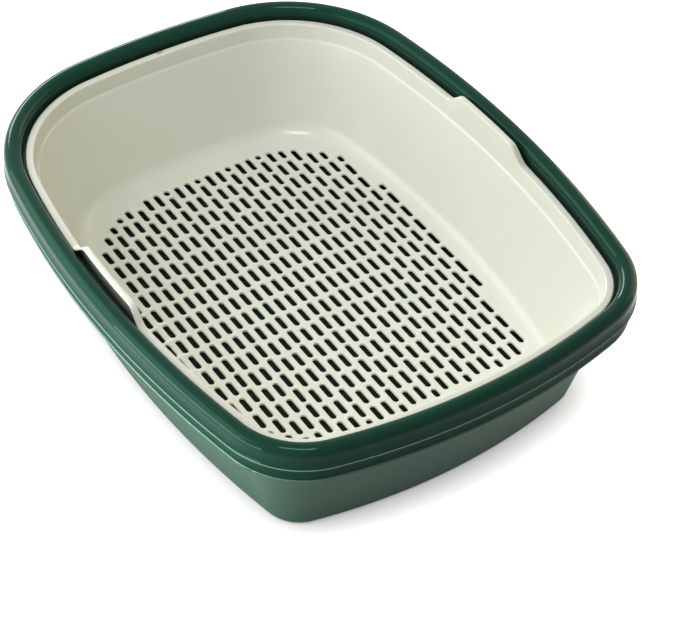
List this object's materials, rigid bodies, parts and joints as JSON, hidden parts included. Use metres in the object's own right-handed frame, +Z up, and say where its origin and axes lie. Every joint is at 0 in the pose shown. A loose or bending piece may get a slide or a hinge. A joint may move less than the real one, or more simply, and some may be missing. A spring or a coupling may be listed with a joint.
{
  "type": "sifting litter box",
  "caption": "Rectangular litter box with bulged sides and a rolled rim: a slotted sifting tray with raised side grips lifts out of nested solid pans",
  "frame": {"origin": "centre of the box in plan, on the surface that it stands on", "axes": "+Z up, +Y along the length towards the end with the wider corners, +X across to the right"},
  "size_m": [0.4036, 0.506, 0.1294],
  "materials": {
    "green_plastic": "glossy moulded polypropylene, dark teal green",
    "cream_plastic": "glossy moulded polypropylene, pale cream"
  },
  "bodies": {
    "base": {"base_pan": "green_plastic"},
    "upper": {"upper_pan": "green_plastic"},
    "sifter": {"sifter_tray": "cream_plastic"}
  },
  "joints": [
    {"name": "upper_pan_lift", "type": "slide", "parent": "base", "child": "upper", "axis": [0, 0, 1], "range_m": [0, 0.12]},
    {"name": "sifter_lift", "type": "slide", "parent": "upper", "child": "sifter", "axis": [0, 0, 1], "range_m": [0, 0.13]}
  ]
}
